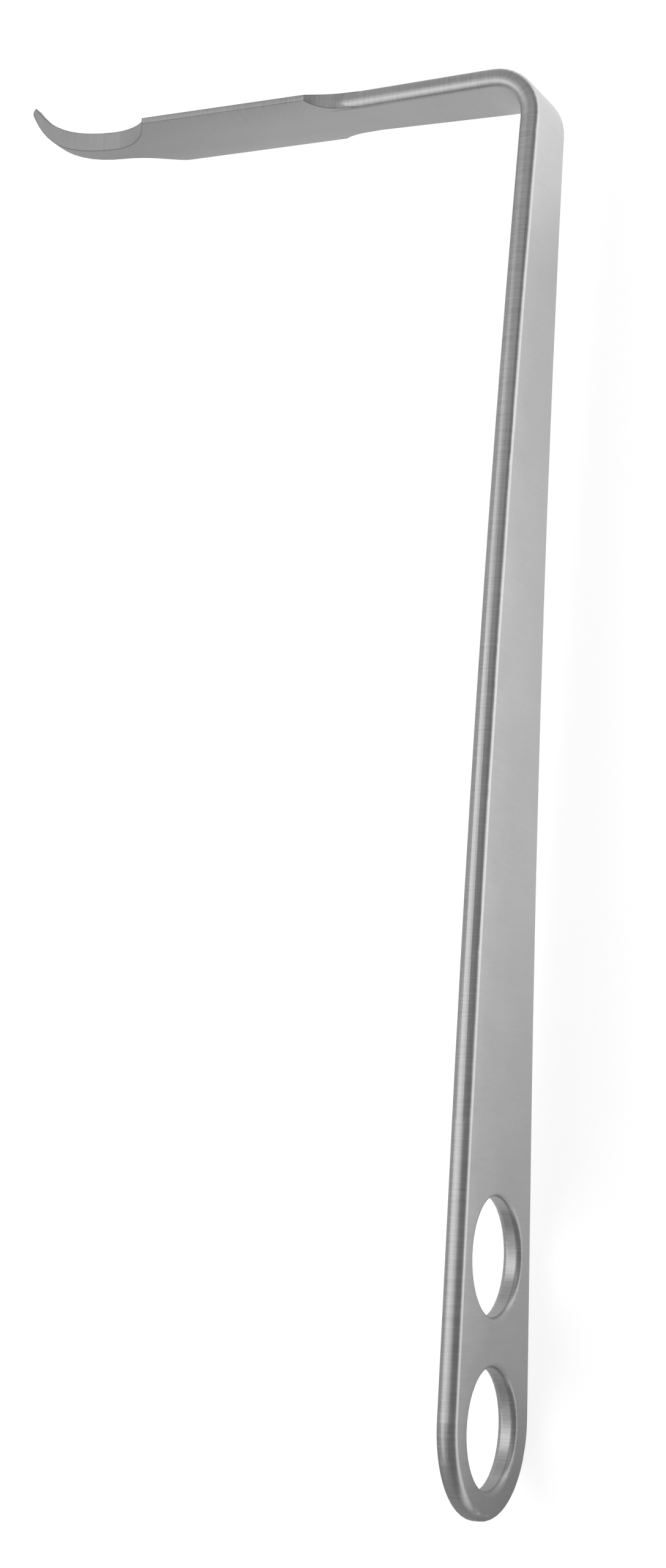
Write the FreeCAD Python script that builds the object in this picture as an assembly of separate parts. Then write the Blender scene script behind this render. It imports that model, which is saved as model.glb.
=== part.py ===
"""Handheld surgical retractor: one bar with a finger-hole handle, a bend, a blade and a beak.

It lies on its side: +Y runs up the handle to the bend, the blade points along -X and +Z is up,
square to the plane of the bend. The origin is under the middle of the piece, at its lowest
level. All sizes are in millimetres.
"""
import FreeCAD
import Part
import math
import os

# Bar
THICKNESS = 4.0
EDGE_ROUND = 1.42

# Handle, measured down from the centre line of the blade
HANDLE_LENGTH = 277.5
HANDLE_END_RADIUS = 17.3
NECK_WIDTH = 15.3
NECK_BELOW_BEND = 0.0472
TAPER_BLEND_RADIUS = 50.0
BOW_RADIUS = 5000.0
BOW_ANGLE = 2.27
HOLE_DIAMETER = 22.0
LOWER_HOLE_FROM_END = 16.4
HOLE_SPACING = 31.1
HOLE_RIM_ROUND = 1.2

# Bend and shank
BEND_INNER_RADIUS = 6.3
BLADE_RISE = 1.6
NECK_BESIDE_BEND = 0.4419
SHANK_LENGTH = 37.5
SHANK_WIDTH = 12.7
SHANK_SINK_START = 32.5
SHANK_SINK_LENGTH = 15.0
SHANK_SINK_ANGLE = 1.7

# Blade
BLADE_WIDTH = 20.2
BLADE_LENGTH = 38.5
BLADE_EDGE_THICKNESS = 1.24
BLADE_BEVEL_RADIUS = 24.0
RIB_BESIDE_BEAK = 0.25
ROOT_FLARE_RADIUS = 8.9
ROOT_RUN_LENGTH = 12.0
ROOT_RUN_ANGLE = 5.5
SHOULDER_RADIUS = 12.2
SHOULDER_CORNER_RADIUS = 0.4

# Beak, measured on from the shoulder corner of the blade
BEAK_WIDTH = 5.1
BEAK_REACH = 34.1
BEAK_HEIGHT = 10.0
BEAK_NOSE_RADIUS = 1.0
BEAK_NOSE_OVERHANG = 0.15
BEAK_TIP_THICKNESS = 1.3
BEAK_TIP_CUT_ANGLE = 47.6
INNER_CURL_START = 8.6
INNER_CURL_LEAD = 14.3
INNER_TIP_LEAD = 10.2
INNER_TIP_ANGLE = 61.0
OUTER_CURL_START = 9.8
OUTER_CURL_LEAD = 13.6
OUTER_TIP_LEAD = 6.2
OUTER_TIP_ANGLE = 49.1

# Working allowances
OUTSIDE = 30.0
OVERLAP = 0.4
TOLERANCE = 0.001

NODE = "retractor_body"
X_AXIS = FreeCAD.Vector(1, 0, 0)
Z_AXIS = FreeCAD.Vector(0, 0, 1)
ORIGIN = FreeCAD.Vector(0, 0, 0)


def vec(x, y, z=0.0):
    return FreeCAD.Vector(x, y, z)


def direction(degrees):
    """Unit vector in the plane of the bend, at this angle from +X towards +Y."""
    return vec(math.cos(math.radians(degrees)), math.sin(math.radians(degrees)))


def line(start, end):
    return Part.makeLine(start, end)


def arc_about(centre, start, end):
    """The shorter arc from start to end about centre."""
    towards_middle = (start + end) * 0.5 - centre
    towards_middle.normalize()
    middle = centre + towards_middle * (start - centre).Length
    return Part.Arc(start, middle, end).toShape()


def curve(start, start_lead, end_lead, end):
    """Smooth curve that leaves start along start_lead and reaches end along end_lead."""
    bezier = Part.BezierCurve()
    bezier.setPoles([start, start + start_lead, end - end_lead, end])
    return bezier.toShape()


def side_plate(edges):
    """Solid of a side outline, drawn in the plane of the bend, wider than the whole piece."""
    plate = Part.Face(Part.Wire(edges)).extrude(Z_AXIS * 2 * OUTSIDE)
    return plate.translated(Z_AXIS * -OUTSIDE)


def symmetric_plate(half_edges, sweep):
    """Solid swept from half an outline, that starts and ends at z = 0, and its mirror image."""
    other_half = [edge.mirror(ORIGIN, Z_AXIS) for edge in half_edges]
    outline = Part.sortEdges(half_edges + other_half)[0]
    return Part.Face(Part.Wire(outline)).extrude(sweep)


def in_line_with_blade(shape):
    """Turns a shape that was built level, along -X, into the line of the blade."""
    turned = shape.copy()
    turned.rotate(ORIGIN, Z_AXIS, -BLADE_RISE)
    return turned


def bend_centres():
    """Centres of the bend and of the bow, with the blade's centre line through the origin."""
    bend_radius = BEND_INNER_RADIUS + THICKNESS / 2
    bow = math.radians(BOW_ANGLE)
    rise = math.radians(BLADE_RISE)
    x = BOW_RADIUS * (1 - math.cos(bow)) - bend_radius * math.cos(bow)
    y = -(bend_radius + x * math.sin(rise)) / math.cos(rise)
    bend_centre = vec(x, y)
    bow_centre = bend_centre + direction(-BOW_ANGLE) * (BOW_RADIUS + bend_radius)
    return bend_centre, bow_centre


def handle_side():
    """The handle seen from the side: straight at its free end, then bowed out to the bend."""
    bow_centre = bend_centres()[1]
    half = THICKNESS / 2
    low = -(HANDLE_LENGTH + OUTSIDE)
    towards_bend = direction(180 - BOW_ANGLE)
    outer_bow = vec(half, bow_centre.y)
    inner_bow = vec(-half, bow_centre.y)
    outer_top = bow_centre + towards_bend * (BOW_RADIUS - half)
    inner_top = bow_centre + towards_bend * (BOW_RADIUS + half)
    return side_plate([
        line(vec(half, low), outer_bow),
        arc_about(bow_centre, outer_bow, outer_top),
        line(outer_top, inner_top),
        arc_about(bow_centre, inner_top, inner_bow),
        line(inner_bow, vec(-half, low)),
        line(vec(-half, low), vec(half, low)),
    ])


def taper_angle(run, rise, reach):
    """Slope of the straight edge that passes a point, this run and rise away, at this reach."""
    return math.asin(reach / math.hypot(run, rise)) - math.atan2(rise, run)


def handle_outline():
    """The handle seen square to its broad face: parallel neck, even taper, round end."""
    neck = NECK_WIDTH / 2
    bend_end = bend_centres()[0] + direction(-BOW_ANGLE) * (BEND_INNER_RADIUS + THICKNESS)
    end_centre = vec(-OUTSIDE, HANDLE_END_RADIUS - HANDLE_LENGTH)
    blend_start = vec(-OUTSIDE, bend_end.y - NECK_BELOW_BEND, neck)
    blend_centre = blend_start + Z_AXIS * TAPER_BLEND_RADIUS
    run = blend_start.y - end_centre.y
    taper = taper_angle(run, blend_centre.z, HANDLE_END_RADIUS + TAPER_BLEND_RADIUS)
    outward = vec(0, math.sin(taper), math.cos(taper))
    blend_end = blend_centre - outward * TAPER_BLEND_RADIUS
    end_start = end_centre + outward * HANDLE_END_RADIUS
    half_edges = [
        line(vec(-OUTSIDE, OUTSIDE), vec(-OUTSIDE, OUTSIDE, neck)),
        line(vec(-OUTSIDE, OUTSIDE, neck), blend_start),
        arc_about(blend_centre, blend_start, blend_end),
        line(blend_end, end_start),
        arc_about(end_centre, end_start, vec(-OUTSIDE, -HANDLE_LENGTH)),
    ]
    return symmetric_plate(half_edges, X_AXIS * 2 * OUTSIDE)


def bend():
    """The neck's section turned about the bend's centre, from the handle to the shank."""
    bend_centre = bend_centres()[0]
    outward = direction(-BOW_ANGLE)
    low = bend_centre - Z_AXIS * (NECK_WIDTH / 2)
    inner = low + outward * BEND_INNER_RADIUS
    outer = inner + outward * THICKNESS
    up = Z_AXIS * NECK_WIDTH
    section = Part.Face(Part.makePolygon([inner, outer, outer + up, inner + up, inner]))
    return section.revolve(bend_centre, Z_AXIS, 90 + BOW_ANGLE - BLADE_RISE)


def shank():
    """The tapering bar from the bend into the root of the blade."""
    base = -THICKNESS / 2
    neck = NECK_WIDTH / 2
    start = bend_centres()[0].dot(direction(180 - BLADE_RISE))
    end = SHANK_SINK_START + SHANK_SINK_LENGTH
    blend_start = vec(-start - NECK_BESIDE_BEND, base, neck)
    blend_centre = blend_start - Z_AXIS * TAPER_BLEND_RADIUS
    run = blend_start.x + SHANK_LENGTH
    taper = taper_angle(run, SHANK_WIDTH / 2 - blend_centre.z, TAPER_BLEND_RADIUS)
    blend_end = blend_centre + vec(-math.sin(taper), 0, math.cos(taper)) * TAPER_BLEND_RADIUS
    last = vec(-end, base, SHANK_WIDTH / 2 - (end - SHANK_LENGTH) * math.tan(taper))
    half_edges = [
        line(vec(-start, base), vec(-start, base, neck)),
        line(vec(-start, base, neck), blend_start),
        arc_about(blend_centre, blend_start, blend_end),
        line(blend_end, last),
        line(last, vec(-end, base)),
    ]
    return in_line_with_blade(symmetric_plate(half_edges, vec(0, THICKNESS)))


def shank_sinks():
    """Two shallow wedges, cut off so that the shank's faces sink into those of the blade."""
    reach = SHANK_SINK_LENGTH + OUTSIDE
    wedges = []
    for side in (1, -1):
        edge = vec(-SHANK_SINK_START, side * THICKNESS / 2)
        low = edge + vec(-reach, -side * reach * math.tan(math.radians(SHANK_SINK_ANGLE)))
        top = vec(low.x, side * OUTSIDE)
        wedges.append(side_plate([line(edge, low), line(low, top), line(top, edge)]))
    return [in_line_with_blade(wedge) for wedge in wedges]


def is_rim(edge):
    """True for an edge along a broad face, not for a straight one across it or through the bar."""
    if edge.Curve.TypeId != "Part::GeomLine":
        return True
    middle = (edge.Vertexes[0].Point + edge.Vertexes[-1].Point) * 0.5
    runs_across = abs(middle.z) < TOLERANCE
    runs_through = abs(edge.Length - THICKNESS) < TOLERANCE
    return not runs_across and not runs_through


def rounded_bar():
    """Handle, bend and shank as one bar with its long edges rounded over."""
    handle = handle_side().common(handle_outline())
    bar = handle.fuse([bend(), shank()]).removeSplitter()
    rims = [edge for edge in bar.Edges if is_rim(edge)]
    return bar.makeFillet(EDGE_ROUND, rims).cut(shank_sinks())


def is_hole_rim(edge):
    is_round = edge.Curve.TypeId == "Part::GeomCircle"
    return is_round and abs(edge.Length - math.pi * HOLE_DIAMETER) < TOLERANCE


def with_finger_holes(bar):
    """Both finger holes bored square through the handle, their rims rounded over."""
    lower = LOWER_HOLE_FROM_END - HANDLE_LENGTH
    for height in (lower, lower + HOLE_SPACING):
        bore = Part.makeCylinder(HOLE_DIAMETER / 2, 2 * OUTSIDE, vec(-OUTSIDE, height), X_AXIS)
        bar = bar.cut(bore)
    rims = [edge for edge in bar.Edges if is_hole_rim(edge)]
    return bar.makeFillet(HOLE_RIM_ROUND, rims)


def blade_marks():
    """Distances along the blade of its root corner, its shoulder corner and the beak's tip."""
    rise = (BLADE_WIDTH - SHANK_WIDTH) / 2
    flare = math.sqrt(ROOT_FLARE_RADIUS ** 2 - (ROOT_FLARE_RADIUS - rise) ** 2)
    root = SHANK_LENGTH + flare
    shoulder = root + BLADE_LENGTH
    return root, shoulder, shoulder + BEAK_REACH


def blade_side():
    """Blade and beak seen from the side: parallel faces, then the beak curling outward."""
    half = THICKNESS / 2
    shoulder, tip = blade_marks()[1:]
    start = -(SHANK_LENGTH - ROOT_RUN_LENGTH)
    inner_curl = vec(-(shoulder + INNER_CURL_START), -half)
    outer_curl = vec(-(shoulder + OUTER_CURL_START), half)
    inner_tip = vec(-tip, BEAK_HEIGHT)
    outer_tip = inner_tip + direction(BEAK_TIP_CUT_ANGLE) * BEAK_TIP_THICKNESS
    inner_lead = vec(-INNER_CURL_LEAD, 0)
    outer_lead = vec(OUTER_CURL_LEAD, 0)
    inner_tip_lead = direction(180 - INNER_TIP_ANGLE) * INNER_TIP_LEAD
    outer_tip_lead = direction(-OUTER_TIP_ANGLE) * OUTER_TIP_LEAD
    return side_plate([
        line(vec(start, -half), inner_curl),
        curve(inner_curl, inner_lead, inner_tip_lead, inner_tip),
        line(inner_tip, outer_tip),
        curve(outer_tip, outer_tip_lead, outer_lead, outer_curl),
        line(outer_curl, vec(start, half)),
        line(vec(start, half), vec(start, -half)),
    ])


def blade_outline():
    """Blade and beak seen square to the blade: flared root, parallel edges, shoulders, nose."""
    root, shoulder, tip = blade_marks()
    half = BLADE_WIDTH / 2
    beak = BEAK_WIDTH / 2
    run = math.radians(ROOT_RUN_ANGLE)
    flare_centre = vec(-SHANK_LENGTH, -OUTSIDE, SHANK_WIDTH / 2 + ROOT_FLARE_RADIUS)
    flare_start = flare_centre + vec(-math.sin(run), 0, -math.cos(run)) * ROOT_FLARE_RADIUS
    run_start = flare_start + vec(math.cos(run), 0, -math.sin(run)) * ROOT_RUN_LENGTH
    root_corner = vec(-root, -OUTSIDE, half)
    shoulder_corner = vec(-shoulder, -OUTSIDE, half)
    drop = half - beak
    cheek = math.sqrt(SHOULDER_RADIUS ** 2 - (SHOULDER_RADIUS - drop) ** 2)
    cheek_end = vec(-shoulder - cheek, -OUTSIDE, beak)
    end = vec(-(tip + BEAK_NOSE_OVERHANG), -OUTSIDE)
    nose = BEAK_NOSE_RADIUS
    nose_centre = end + X_AXIS * nose
    reach = cheek_end.x - end.x
    side_radius = (reach ** 2 - 2 * reach * nose + beak ** 2) / (2 * (beak - nose))
    side_centre = cheek_end - Z_AXIS * side_radius
    nose_start = side_centre + (nose_centre - side_centre).normalize() * side_radius
    half_edges = [
        line(vec(run_start.x, -OUTSIDE), run_start),
        line(run_start, flare_start),
        arc_about(flare_centre, flare_start, root_corner),
        line(root_corner, shoulder_corner),
        arc_about(cheek_end + Z_AXIS * SHOULDER_RADIUS, shoulder_corner, cheek_end),
        arc_about(side_centre, cheek_end, nose_start),
        arc_about(nose_centre, nose_start, end),
    ]
    plate = symmetric_plate(half_edges, vec(0, 2 * OUTSIDE))
    corners = [edge for edge in plate.Edges if is_shoulder(edge, shoulder_corner)]
    return plate.makeFillet(SHOULDER_CORNER_RADIUS, corners)


def is_shoulder(edge, corner):
    """True for the two edges through the blade's thickness at its shoulder corners."""
    centre = edge.CenterOfMass
    return abs(centre.x - corner.x) < TOLERANCE and abs(abs(centre.z) - corner.z) < TOLERANCE


def blade_section():
    """Cross-section of the blade: a middle rib, and a round bevel from it to each thin edge."""
    rib = vec(0, THICKNESS / 2, BEAK_WIDTH / 2 + RIB_BESIDE_BEAK)
    edge = vec(0, BLADE_EDGE_THICKNESS / 2, BLADE_WIDTH / 2)
    chord = edge - rib
    inward = vec(0, -chord.z, chord.y)
    inward.normalize()
    centre = (edge + rib) * 0.5 + inward * math.sqrt(BLADE_BEVEL_RADIUS ** 2 - (chord.Length / 2) ** 2)
    beside_rib = rib.z - OVERLAP / 2
    beyond_edge = edge.z + OVERLAP
    at_rib = vec(0, bevel_height(centre, beside_rib), beside_rib)
    at_edge = vec(0, bevel_height(centre, beyond_edge), beyond_edge)
    low_rib = vec(0, -at_rib.y, at_rib.z)
    low_edge = vec(0, -at_edge.y, at_edge.z)
    half_edges = [
        line(vec(0, OUTSIDE), vec(0, OUTSIDE, beside_rib)),
        line(vec(0, OUTSIDE, beside_rib), at_rib),
        arc_about(centre, at_rib, at_edge),
        line(at_edge, low_edge),
        arc_about(vec(0, -centre.y, centre.z), low_edge, low_rib),
        line(low_rib, vec(0, -OUTSIDE, beside_rib)),
        line(vec(0, -OUTSIDE, beside_rib), vec(0, -OUTSIDE)),
    ]
    tip = blade_marks()[2]
    return symmetric_plate(half_edges, vec(-(tip + OUTSIDE), 0))


def bevel_height(centre, across):
    """Height of the bevel above the blade's middle plane, at this distance across the blade."""
    return centre.y + math.sqrt(BLADE_BEVEL_RADIUS ** 2 - (across - centre.z) ** 2)


def blade():
    """Blade and beak as what their side, outline and cross-section have in common."""
    return in_line_with_blade(blade_side().common([blade_outline()]).common(blade_section()))


def retractor():
    """The whole piece, its lowest level at z = 0 and its middle over the origin."""
    whole = with_finger_holes(rounded_bar()).fuse(blade()).removeSplitter().Solids[0]
    box = whole.optimalBoundingBox()
    return whole.translated(vec(-box.Center.x, -box.Center.y, -box.ZMin))


os.makedirs("parts", exist_ok=True)
retractor().exportStep("parts/" + NODE + ".step")
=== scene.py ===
"""Looks of the handheld surgical retractor: brushed satin steel on a plain pale floor."""

import math

import bpy
from mathutils import Matrix, Vector

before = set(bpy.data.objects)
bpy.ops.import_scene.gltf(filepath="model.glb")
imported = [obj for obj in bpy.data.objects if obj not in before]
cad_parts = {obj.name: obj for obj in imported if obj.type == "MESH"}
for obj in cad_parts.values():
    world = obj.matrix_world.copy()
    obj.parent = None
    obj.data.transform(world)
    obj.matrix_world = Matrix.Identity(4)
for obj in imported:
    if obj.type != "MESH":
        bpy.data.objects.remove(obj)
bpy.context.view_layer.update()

SCENE = bpy.context.scene

# The camera, fitted to the outline and edges in the photograph.
PHOTO_HEIGHT = 2560
FOCAL_PIXELS = 4458.5
LONG_SIDE_MM = 36.0
NEAR_CLIP = 0.01
FAR_CLIP = 50
CAMERA_PLACE = Vector((0.258624, -0.103240, 0.488438))
CAMERA_RIGHT = Vector((0.894064, 0.042366, -0.445930))
CAMERA_UP = Vector((0.041918, 0.983236, 0.177457))
CAMERA_BACK = Vector((0.445973, -0.177350, 0.877300))

# The bar runs up the handle, round this bend centre and out along the blade.
BEND_CENTRE = Vector((0.0512, 0.1235, 0))
BEND_RADIUS = 0.0083
BOW_RADIUS = 5.0
BOW_LENGTH = 0.1984
BLADE_SLOPE = 0.0279

# The steel's tone and finish.
STEEL_TONE = 0.62
STEEL_BLUE = 1.006
STROKE_ROUGHNESS = (0.32, 0.38)
CLOUD_ROUGHNESS = 0.03
ANISOTROPY = 0.25

# Noise: its usual range, and how fine each pattern is. The strokes are squeezed along the bar.
NOISE_LOW = 0.3
NOISE_HIGH = 0.7
STROKE_SQUEEZE = 22.0
STROKE_SCALE = 130.0
FINE_STROKE_SCALE = 420.0
FINE_STROKE_SHARE = 0.35
CLOUD_SCALE = 90.0
GRAIN_SCALE = 2600.0

# How much each pattern changes the tone, and where along x the edges' strokes grow from the blade's.
CLOUD_DEPTH = 0.035
GRAIN_DEPTH = 0.015
FACE_STROKES = 0.2
EDGE_STROKES = 0.6
BLADE_STROKES = 0.1
STROKES_GROW = (-0.035, 0.005)

# Painted shade: a dark hairline painted into the colour beside sharp edges, between these amounts of
# edge.
PAINTED_EDGE_SHADE_TONE = 0.45
PAINTED_EDGE_SHADE_RADIUS = 0.0005
PAINTED_EDGE_SHADE_RANGE = (0.04, 0.12)

# The relief of strokes and grain.
RELIEF_HEIGHT = 0.00001
RELIEF_STRENGTH = 0.5
GRAIN_RELIEF = 0.4

# The crowning of the long edges: its share on the blade and what the bar adds, each with the x where it
# comes in, then the y past the finger holes and the height over them where it comes in.
CROWN_HEIGHT = 0.00016
CROWN_WIDTH = 0.001
BLADE_CROWN = 0.3
BLADE_CROWN_IN = (-0.0265, -0.0245)
BAR_CROWN = 0.7
BAR_CROWN_IN = (0.008, 0.02)
PAST_HOLES = (-0.086, -0.074)
OVER_HOLES = (0.018, 0.030)

# The floor: as the camera sees it, and the x where the left and near parts of its painted reflection
# give way.
FLOOR_REACH = 3.0
FLOOR_DROP = 0.0001
FLOOR_ROUGHNESS = 0.9
FLOOR_TONE = 0.8
FLOOR_GLOW = 0.75
LEFT_TO_RIGHT = (0.044, 0.052)
NEAR_TO_FAR = (0.074, 0.088)

# Painted reflection: how bright the floor glows in the metal, as pairs of a place in metres and the
# brightness there: up along the handle, further out to its right along y and x, and to its left along x
# and y.
FLOOR_UP = [
    (-0.30, 0.27), (-0.155, 0.28), (-0.14, 0.30), (-0.12, 0.45), (-0.09, 0.54),
    (-0.06, 0.62), (-0.03, 0.71), (0.02, 0.77), (0.05, 0.77), (0.099, 0.74),
    (0.108, 0.81), (0.117, 0.94), (0.122, 0.98), (0.15, 1.10), (0.30, 0.8),
]
FLOOR_FAR_UP = [
    (-0.30, 0.60), (-0.16, 0.88), (-0.14, 1.00), (-0.12, 1.10),
    (-0.06, 1.22), (0.0, 1.40), (0.15, 1.35), (0.30, 1.0),
]
FLOOR_FAR_OUT = [(0.074, 1.0), (0.15, 1.0), (0.24, 0.4), (0.60, 0.3)]
FLOOR_LEFT = [(-0.60, 0.46), (-0.045, 0.46), (-0.01, 0.55), (0.05, 0.58)]
FLOOR_LEFT_UP = [(-0.40, 0.55), (-0.16, 0.55), (-0.10, 1.0), (0.30, 1.0)]

# How bright the sky is in the metal: all over, and what the left and the far side add.
SKY_LEVEL = 0.19
SKY_LEFT = 0.25
SKY_FAR = 0.16

# Level soft lights over the piece: name, two corners, height and radiance.
SOFTBOXES = [
    ("wide_softbox", (-0.60, -0.16), (-0.095, 0.27), 0.5, 0.40),
    ("near_softbox", (-0.25, -0.14), (-0.085, 0.16), 0.499, 0.47),
    ("top_softbox", (-0.32, 0.16), (-0.15, 0.30), 0.499, 0.55),
    ("side_softbox", (-0.095, -0.12), (-0.03, 0.16), 0.5, 0.60),
    ("edge_softbox", (-0.03, -0.20), (0.10, 0.16), 0.498, 0.26),
    ("right_softbox", (0.10, -0.20), (0.20, 0.16), 0.498, 0.06),
    ("far_softbox", (-0.40, -0.60), (-0.21, -0.14), 0.5, 0.70),
    ("end_softbox", (-0.30, -0.24), (-0.12, -0.15), 0.499, 0.10),
    ("low_softbox", (-0.20, -0.34), (-0.085, -0.24), 0.499, 0.05),
    ("back_softbox", (0.02, 0.16), (0.60, 0.50), 0.496, 0.22),
    ("blade_softbox", (-0.50, -0.18), (-0.23, 0.25), 0.497, 0.27),
    ("tip_softbox", (-0.60, 0.30), (-0.29, 0.45), 0.5, 0.10),
]


class Graph:
    """Short ways to add nodes to one node tree."""

    def __init__(self, tree):
        self.tree = tree

    def node(self, kind, **settings):
        node = self.tree.nodes.new(kind)
        for name, value in settings.items():
            setattr(node, name, value)
        return node

    def feed(self, socket, value):
        if isinstance(value, bpy.types.NodeSocket):
            self.tree.links.new(value, socket)
        else:
            socket.default_value = value

    def math(self, operation, *values):
        node = self.node("ShaderNodeMath", operation=operation)
        for socket, value in zip(node.inputs, values):
            self.feed(socket, value)
        return node.outputs[0]

    def vector(self, operation, *values):
        node = self.node("ShaderNodeVectorMath", operation=operation)
        for socket, value in zip(node.inputs, values):
            self.feed(socket, value)
        return node.outputs["Value"] if operation in ("LENGTH", "DOT_PRODUCT") else node.outputs[0]

    def split(self, vector):
        node = self.node("ShaderNodeSeparateXYZ")
        self.feed(node.inputs[0], vector)
        return list(node.outputs)

    def join(self, x, y, z):
        node = self.node("ShaderNodeCombineXYZ")
        for socket, value in zip(node.inputs, (x, y, z)):
            self.feed(socket, value)
        return node.outputs[0]

    def noise(self, vector, scale, detail=2.0):
        node = self.node("ShaderNodeTexNoise")
        self.feed(node.inputs["Vector"], vector)
        node.inputs["Scale"].default_value = scale
        node.inputs["Detail"].default_value = detail
        return node.outputs["Fac"]

    def mix(self, share, first, second):
        node = self.node("ShaderNodeMix")
        for name, value in (("Factor", share), ("A", first), ("B", second)):
            self.feed(node.inputs[name], value)
        return node.outputs["Result"]

    def spread(self, value, low, high, from_low=NOISE_LOW, from_high=NOISE_HIGH):
        """Maps a range, a noise value's usual one if none is given, on to low and high."""
        node = self.node("ShaderNodeMapRange")
        self.feed(node.inputs["Value"], value)
        ends = (("From Min", from_low), ("From Max", from_high), ("To Min", low), ("To Max", high))
        for name, number in ends:
            node.inputs[name].default_value = number
        return node.outputs["Result"]

    def bump(self, height, strength, distance, normal):
        node = self.node("ShaderNodeBump")
        node.inputs["Strength"].default_value = strength
        node.inputs["Distance"].default_value = distance
        self.feed(node.inputs["Height"], height)
        self.feed(node.inputs["Normal"], normal)
        return node.outputs[0]

    def curve(self, value, points):
        """Straight runs between points, each a value and the result there."""
        low, high = points[0][0], points[-1][0]
        top = max(result for value_there, result in points)
        node = self.node("ShaderNodeValToRGB")
        elements = node.color_ramp.elements
        for index, (value_there, result) in enumerate(points):
            position = (value_there - low) / (high - low)
            element = elements[index] if index < 2 else elements.new(position)
            element.position = position
            element.color = (result / top, result / top, result / top, 1)
        self.feed(node.inputs["Fac"], self.spread(value, 0.0, 1.0, low, high))
        return self.math("MULTIPLY", node.outputs["Color"], top)


def make_camera():
    data = bpy.data.cameras.new("camera")
    data.sensor_width = LONG_SIDE_MM
    data.lens = LONG_SIDE_MM * FOCAL_PIXELS / PHOTO_HEIGHT
    data.clip_start = NEAR_CLIP
    data.clip_end = FAR_CLIP
    camera = bpy.data.objects.new("camera", data)
    SCENE.collection.objects.link(camera)
    turn = Matrix((CAMERA_RIGHT, CAMERA_UP, CAMERA_BACK)).transposed().to_4x4()
    camera.matrix_world = Matrix.Translation(CAMERA_PLACE) @ turn
    SCENE.camera = camera


def along_bar(graph, place):
    """Direction and distance along the bar, distance out from its centre line, and height."""
    x, y, z = graph.split(graph.vector("SUBTRACT", place, BEND_CENTRE))
    beside = graph.math("MAXIMUM", x, 0.0)
    above = graph.math("MAXIMUM", y, 0.0)
    tangent = graph.join(graph.math("MULTIPLY", above, -1.0), beside, 0.0)
    round_bend = graph.math("MULTIPLY", graph.math("ARCTAN2", above, beside), BEND_RADIUS)
    down_handle = graph.math("MINIMUM", y, 0.0)
    out_blade = graph.math("MINIMUM", x, 0.0)
    distance = graph.math("ADD", round_bend, graph.math("SUBTRACT", down_handle, out_blade))
    bow = graph.math("MAXIMUM", graph.math("ADD", y, BOW_LENGTH), 0.0)
    bow = graph.math("MINIMUM", bow, BOW_LENGTH)
    bowed = graph.math("MULTIPLY", graph.math("MULTIPLY", bow, bow), 0.5 / BOW_RADIUS)
    straight = graph.math("SUBTRACT", BOW_LENGTH ** 2 * 0.5 / BOW_RADIUS, bowed)
    out = graph.math("ADD", graph.vector("LENGTH", graph.join(beside, above, 0.0)), straight)
    out = graph.math("ADD", out, graph.math("MULTIPLY", out_blade, BLADE_SLOPE))
    return tangent, distance, graph.math("SUBTRACT", out, BEND_RADIUS), z


def stroke_depth(graph, place):
    """Faint on the broad faces, deeper on the narrow edges that lie level, less deep on the blade's."""
    normal = graph.node("ShaderNodeTexCoord").outputs["Normal"]
    on_edge = graph.math("ABSOLUTE", graph.split(normal)[2])
    edge_depth = graph.spread(graph.split(place)[0], BLADE_STROKES, EDGE_STROKES, *STROKES_GROW)
    return graph.math("ADD", graph.math("MULTIPLY", on_edge, edge_depth), FACE_STROKES)


def painted_edge_shade(graph):
    """One on smooth surfaces, darker in a painted-shade hairline beside a sharp edge."""
    bevel = graph.node("ShaderNodeBevel", samples=8)
    bevel.inputs["Radius"].default_value = PAINTED_EDGE_SHADE_RADIUS
    normal = graph.node("ShaderNodeNewGeometry").outputs["Normal"]
    sharp = graph.math("SUBTRACT", 1.0, graph.vector("DOT_PRODUCT", bevel.outputs[0], normal))
    return graph.spread(sharp, 1.0, PAINTED_EDGE_SHADE_TONE, *PAINTED_EDGE_SHADE_RANGE)


def crowned_part(graph, place):
    """One on the bar's long edges, less on the blade's, nothing on the beak and in the finger holes."""
    x, y, z = graph.split(place)
    on_blade = graph.spread(x, 0.0, BLADE_CROWN, *BLADE_CROWN_IN)
    on_bar = graph.spread(x, 0.0, BAR_CROWN, *BAR_CROWN_IN)
    past_holes = graph.spread(y, 0.0, 1.0, *PAST_HOLES)
    over_holes = graph.spread(z, 0.0, 1.0, *OVER_HOLES)
    clear_of_holes = graph.math("MAXIMUM", past_holes, over_holes)
    return graph.math("MULTIPLY", graph.math("ADD", on_blade, on_bar), clear_of_holes)


def crowned_normal(graph, place, out):
    """The surface's own normal, with the long edges crowned over their flat middle."""
    share = graph.math("POWER", graph.math("DIVIDE", out, CROWN_WIDTH), 2.0)
    crown = graph.math("DIVIDE", CROWN_HEIGHT, graph.math("ADD", share, 1.0))
    crown = graph.math("MULTIPLY", crown, crowned_part(graph, place))
    normal = graph.node("ShaderNodeNewGeometry").outputs["Normal"]
    return graph.bump(crown, 1.0, 1.0, normal)


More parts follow.
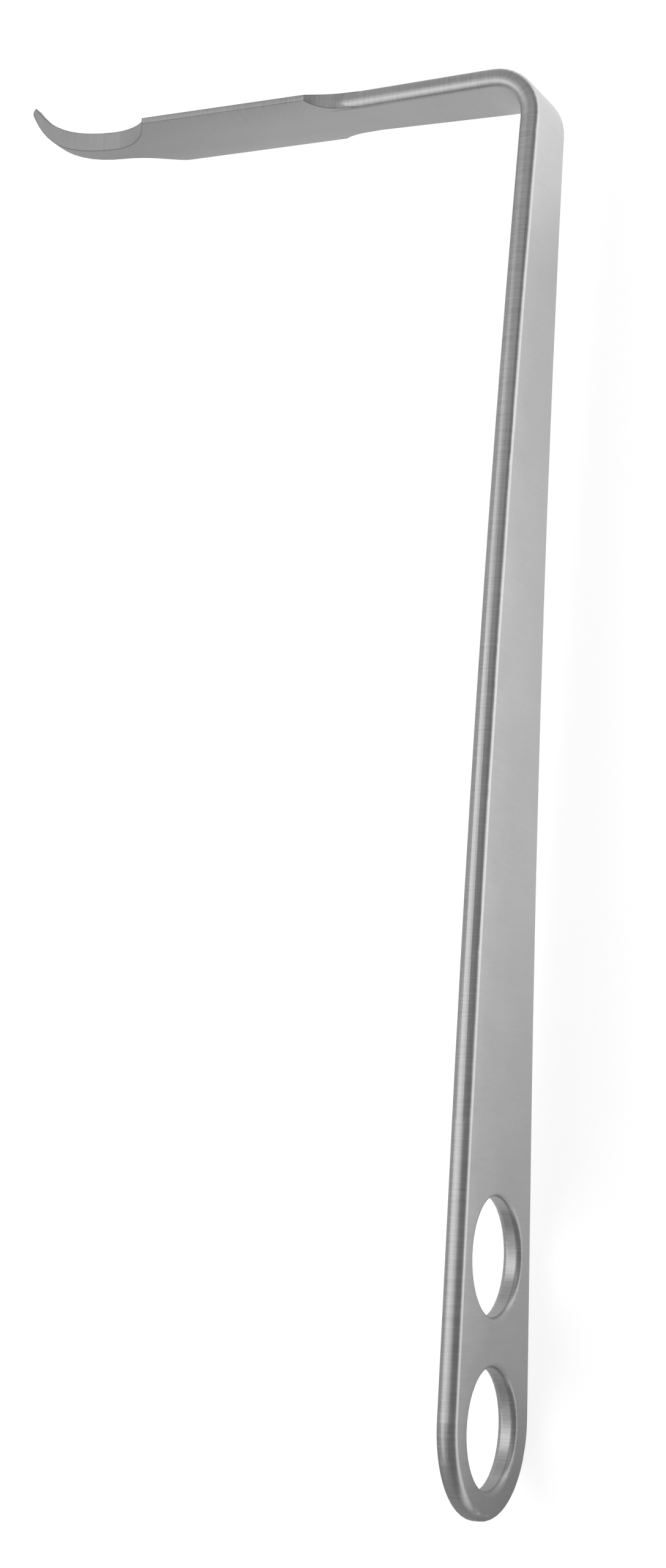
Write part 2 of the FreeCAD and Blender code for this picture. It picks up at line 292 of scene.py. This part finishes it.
def make_steel():
    material = bpy.data.materials.new("brushed_steel")
    material.use_nodes = True
    graph = Graph(material.node_tree)
    shader = material.node_tree.nodes["Principled BSDF"]
    place = graph.node("ShaderNodeTexCoord").outputs["Object"]
    tangent, distance, out, height = along_bar(graph, place)
    across = graph.join(graph.math("MULTIPLY", distance, STROKE_SQUEEZE), out, height)
    brushing = graph.noise(across, STROKE_SCALE, detail=3.0)
    strokes = graph.mix(FINE_STROKE_SHARE, brushing, graph.noise(across, FINE_STROKE_SCALE))
    cloud = graph.noise(place, CLOUD_SCALE, detail=3.0)
    grain = graph.noise(place, GRAIN_SCALE)

    stroke = graph.math("MULTIPLY", graph.math("SUBTRACT", strokes, 0.5), stroke_depth(graph, place))
    tone = graph.math("ADD", stroke, 1.0)
    tone = graph.math("MULTIPLY", tone, graph.spread(cloud, 1 - CLOUD_DEPTH, 1 + CLOUD_DEPTH))
    tone = graph.math("MULTIPLY", tone, graph.spread(grain, 1 - GRAIN_DEPTH, 1 + GRAIN_DEPTH))
    # Painted shade: the colour is darkened in a hairline beside sharp edges.
    tone = graph.math("MULTIPLY", tone, painted_edge_shade(graph))
    tone = graph.math("MULTIPLY", tone, STEEL_TONE)
    colour = graph.join(tone, tone, graph.math("MULTIPLY", tone, STEEL_BLUE))
    graph.feed(shader.inputs["Base Color"], colour)
    shader.inputs["Metallic"].default_value = 1.0
    shader.inputs["Anisotropic"].default_value = ANISOTROPY
    graph.feed(shader.inputs["Tangent"], tangent)
    stroke_rough = graph.spread(strokes, *STROKE_ROUGHNESS)
    cloud_rough = graph.spread(cloud, -CLOUD_ROUGHNESS, CLOUD_ROUGHNESS)
    graph.feed(shader.inputs["Roughness"], graph.math("ADD", stroke_rough, cloud_rough))

    relief = graph.math("ADD", strokes, graph.math("MULTIPLY", grain, GRAIN_RELIEF))
    crowned = crowned_normal(graph, place, out)
    normal = graph.bump(relief, RELIEF_STRENGTH, RELIEF_HEIGHT, crowned)
    graph.feed(shader.inputs["Normal"], normal)
    return material


def painted_floor_reflection(graph):
    """Painted reflection: how bright the floor glows in the metal, by place."""
    x, y = graph.split(graph.node("ShaderNodeNewGeometry").outputs["Position"])[:2]
    far = graph.math("MULTIPLY", graph.curve(y, FLOOR_FAR_UP), graph.curve(x, FLOOR_FAR_OUT))
    right = graph.mix(graph.spread(x, 0.0, 1.0, *NEAR_TO_FAR), graph.curve(y, FLOOR_UP), far)
    left = graph.math("MULTIPLY", graph.curve(x, FLOOR_LEFT), graph.curve(y, FLOOR_LEFT_UP))
    return graph.mix(graph.spread(x, 0.0, 1.0, *LEFT_TO_RIGHT), left, right)


def make_floor():
    mesh = bpy.data.meshes.new("floor")
    reach = FLOOR_REACH
    corners = [(-reach, -reach, 0), (reach, -reach, 0), (reach, reach, 0), (-reach, reach, 0)]
    mesh.from_pydata(corners, [], [(0, 1, 2, 3)])
    floor = bpy.data.objects.new("floor", mesh)
    SCENE.collection.objects.link(floor)
    floor.location.z = -FLOOR_DROP
    material = bpy.data.materials.new("pale_floor")
    material.use_nodes = True
    graph = Graph(material.node_tree)
    shader = material.node_tree.nodes["Principled BSDF"]
    shader.inputs["Roughness"].default_value = FLOOR_ROUGHNESS
    shader.inputs["Specular IOR Level"].default_value = 0.0
    shader.inputs["Emission Color"].default_value = (1, 1, 1, 1)
    rays = graph.node("ShaderNodeLightPath").outputs
    mirrored = graph.math("MAXIMUM", rays["Is Glossy Ray"], rays["Is Transmission Ray"])
    seen = graph.math("MULTIPLY", rays["Is Camera Ray"], FLOOR_GLOW)
    # Painted reflection: for glossy and transmission rays the floor glows brighter and darker by place,
    # with no diffuse part.
    glow = graph.math("ADD", seen, graph.math("MULTIPLY", mirrored, painted_floor_reflection(graph)))
    graph.feed(shader.inputs["Emission Strength"], glow)
    diffuse = graph.math("MULTIPLY", graph.math("SUBTRACT", 1.0, mirrored), FLOOR_TONE)
    graph.feed(shader.inputs["Base Color"], graph.join(diffuse, diffuse, diffuse))
    mesh.materials.append(material)


def make_world():
    world = bpy.data.worlds.new("studio")
    SCENE.world = world
    world.use_nodes = True
    graph = Graph(world.node_tree)
    background = world.node_tree.nodes["Background"]
    x, y = graph.split(graph.node("ShaderNodeTexCoord").outputs["Generated"])[:2]
    leftward = graph.math("MAXIMUM", graph.math("MULTIPLY", x, -1.0), 0.0)
    from_left = graph.math("MULTIPLY", leftward, SKY_LEFT)
    from_far = graph.math("MULTIPLY", graph.math("MAXIMUM", y, 0.0), SKY_FAR)
    level = graph.math("ADD", graph.math("ADD", from_left, from_far), SKY_LEVEL)
    rays = graph.node("ShaderNodeLightPath").outputs
    level = graph.math("MAXIMUM", level, rays["Is Camera Ray"])
    graph.feed(background.inputs["Color"], graph.join(level, level, level))


def make_softbox(name, low, high, height, radiance):
    """A level soft light between two corners, that shines straight down."""
    data = bpy.data.lights.new(name, "AREA")
    data.shape = "RECTANGLE"
    data.size = high[0] - low[0]
    data.size_y = high[1] - low[1]
    data.energy = radiance * math.pi * data.size * data.size_y
    light = bpy.data.objects.new(name, data)
    SCENE.collection.objects.link(light)
    light.location = ((low[0] + high[0]) / 2, (low[1] + high[1]) / 2, height)


make_camera()
make_floor()
make_world()
for softbox in SOFTBOXES:
    make_softbox(*softbox)
steel = make_steel()
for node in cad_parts.values():
    node.data.materials.clear()
    node.data.materials.append(steel)

SCENE.view_settings.view_transform = "Standard"
